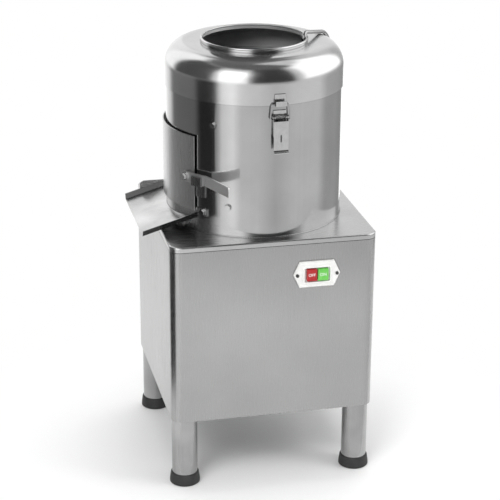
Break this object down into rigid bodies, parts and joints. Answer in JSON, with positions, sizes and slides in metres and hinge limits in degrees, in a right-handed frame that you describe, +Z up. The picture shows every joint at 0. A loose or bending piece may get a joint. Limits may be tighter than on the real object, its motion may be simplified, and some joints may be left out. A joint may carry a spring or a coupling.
{
  "type": "electric potato peeler",
  "caption": "Floor-standing electric potato peeler: steel drum with a spinning abrasive disc, clamped lid, side discharge door and chute, on a legged motor cabinet with push buttons.",
  "frame": {"origin": "on the floor under the middle of the whole part's outer box, with the feet's undersides at z = 0", "axes": "+Z up; -Y towards the front, where the push buttons are; -X towards the chute"},
  "size_m": [0.4396, 0.4358, 0.8574],
  "materials": {
    "brushed_sheet": "vertically brushed stainless sheet",
    "polished_sheet": "bright stainless sheet, finely polished",
    "satin_tube": "satin stainless tube",
    "turned_steel": "bright turned or plated steel",
    "black_rubber": "matt black rubber",
    "grey_casting": "grey painted casting",
    "abrasive_grit": "casting coated with bonded silicon carbide grit",
    "grit_sheet": "steel sheet coated with bonded silicon carbide grit",
    "black_plastic": "black moulded plastic",
    "white_plastic": "white moulded plastic",
    "red_plastic": "glossy red plastic",
    "green_plastic": "glossy green plastic"
  },
  "bodies": {
    "stand": {"cabinet_shell": "brushed_sheet", "top_plate": "polished_sheet", "rear_cover": "brushed_sheet", "rear_cover_screws": "turned_steel", "front_left_leg": "satin_tube", "front_right_leg": "satin_tube", "rear_left_leg": "satin_tube", "rear_right_leg": "satin_tube", "front_left_foot": "black_rubber", "front_right_foot": "black_rubber", "rear_left_foot": "black_rubber", "rear_right_foot": "black_rubber", "frame_rails": "brushed_sheet", "motor_shelf": "brushed_sheet", "motor_body": "grey_casting", "motor_end_shield": "grey_casting", "motor_fan_cover": "grey_casting", "motor_terminal_box": "black_plastic", "motor_bolts": "turned_steel", "drive_belt": "black_rubber", "bearing_housing": "grey_casting", "shaft_bearings": "turned_steel", "shaft_seal": "black_rubber", "housing_bolts": "turned_steel", "drum_shell": "polished_sheet", "drum_floor": "brushed_sheet", "abrasive_liner": "grit_sheet", "drum_bolts": "turned_steel", "latch_bases": "turned_steel", "latch_pins": "turned_steel", "door_hinge_brackets": "turned_steel", "door_hinge_pin": "turned_steel", "strap_keeper": "brushed_sheet", "chute": "polished_sheet", "drain_pipe": "satin_tube", "switch_plate": "white_plastic", "switch_body": "black_plastic", "switch_screws": "turned_steel", "cable_gland": "black_plastic"},
    "rotor": {"main_shaft": "turned_steel", "abrasive_disc": "abrasive_grit", "disc_nut": "turned_steel", "main_pulley": "grey_casting"},
    "motor_rotor": {"motor_shaft": "turned_steel", "motor_pulley": "grey_casting"},
    "lid": {"lid": "polished_sheet", "lid_gasket": "black_rubber", "latch_strikes": "turned_steel", "water_pipe": "satin_tube", "pipe_clip": "turned_steel"},
    "door": {"discharge_door": "brushed_sheet", "door_gasket": "black_rubber", "strap_bolt": "turned_steel"},
    "strap": {"door_strap": "polished_sheet"},
    "lever_front": {"latch_lever_front": "turned_steel"},
    "lever_rear": {"latch_lever_rear": "turned_steel"},
    "bail_front": {"latch_bail_front": "turned_steel"},
    "bail_rear": {"latch_bail_rear": "turned_steel"},
    "off_button": {"off_button": "red_plastic"},
    "on_button": {"on_button": "green_plastic"}
  },
  "joints": [
    {"name": "disc_spin", "type": "hinge", "parent": "stand", "child": "rotor", "pos_m": [0.01825, -0.00809, 0.3], "axis": [0, 0, 1], "continuous": true},
    {"name": "motor_spin", "type": "hinge", "parent": "stand", "child": "motor_rotor", "pos_m": [0.10225, 0.10191, 0.3], "axis": [0, 0, 1], "continuous": true},
    {"name": "lid_lift", "type": "slide", "parent": "stand", "child": "lid", "axis": [0, 0, 1], "range_m": [0, 0.2]},
    {"name": "door_swing", "type": "hinge", "parent": "stand", "child": "door", "pos_m": [-0.12694, 0.10576, 0.615], "axis": [0, 0, -1], "range_deg": [0, 110]},
    {"name": "strap_lift", "type": "hinge", "parent": "door", "child": "strap", "pos_m": [-0.13525, -0.10587, 0.6085], "axis": [-0.8434, -0.5373, 0], "range_deg": [0, 55]},
    {"name": "latch_lever_front_swing", "type": "hinge", "parent": "stand", "child": "lever_front", "pos_m": [0.02805, -0.18331, 0.737], "axis": [-0.9984, -0.0558, 0], "range_deg": [0, 120]},
    {"name": "latch_bail_front_swing", "type": "hinge", "parent": "lever_front", "child": "bail_front", "pos_m": [0.02809, -0.18401, 0.7315], "axis": [-0.9984, -0.0558, 0], "range_deg": [-113, 0]},
    {"name": "latch_lever_rear_swing", "type": "hinge", "parent": "stand", "child": "lever_rear", "pos_m": [0.00845, 0.16714, 0.737], "axis": [0.9984, 0.0558, 0], "range_deg": [0, 120]},
    {"name": "latch_bail_rear_swing", "type": "hinge", "parent": "lever_rear", "child": "bail_rear", "pos_m": [0.00841, 0.16784, 0.7315], "axis": [0.9984, 0.0558, 0], "range_deg": [-113, 0]},
    {"name": "off_press", "type": "slide", "parent": "stand", "child": "off_button", "axis": [0, 1, 0], "range_m": [0, 0.003], "stiffness_N_per_m": 300},
    {"name": "on_press", "type": "slide", "parent": "stand", "child": "on_button", "axis": [0, 1, 0], "range_m": [0, 0.003], "stiffness_N_per_m": 300}
  ],
  "couplings": [
    {"joint": "motor_spin", "follows": "disc_spin", "ratio": 3.68},
    {"joint": "latch_bail_front_swing", "follows": "latch_lever_front_swing", "ratio": -0.94},
    {"joint": "latch_bail_rear_swing", "follows": "latch_lever_rear_swing", "ratio": -0.94}
  ]
}
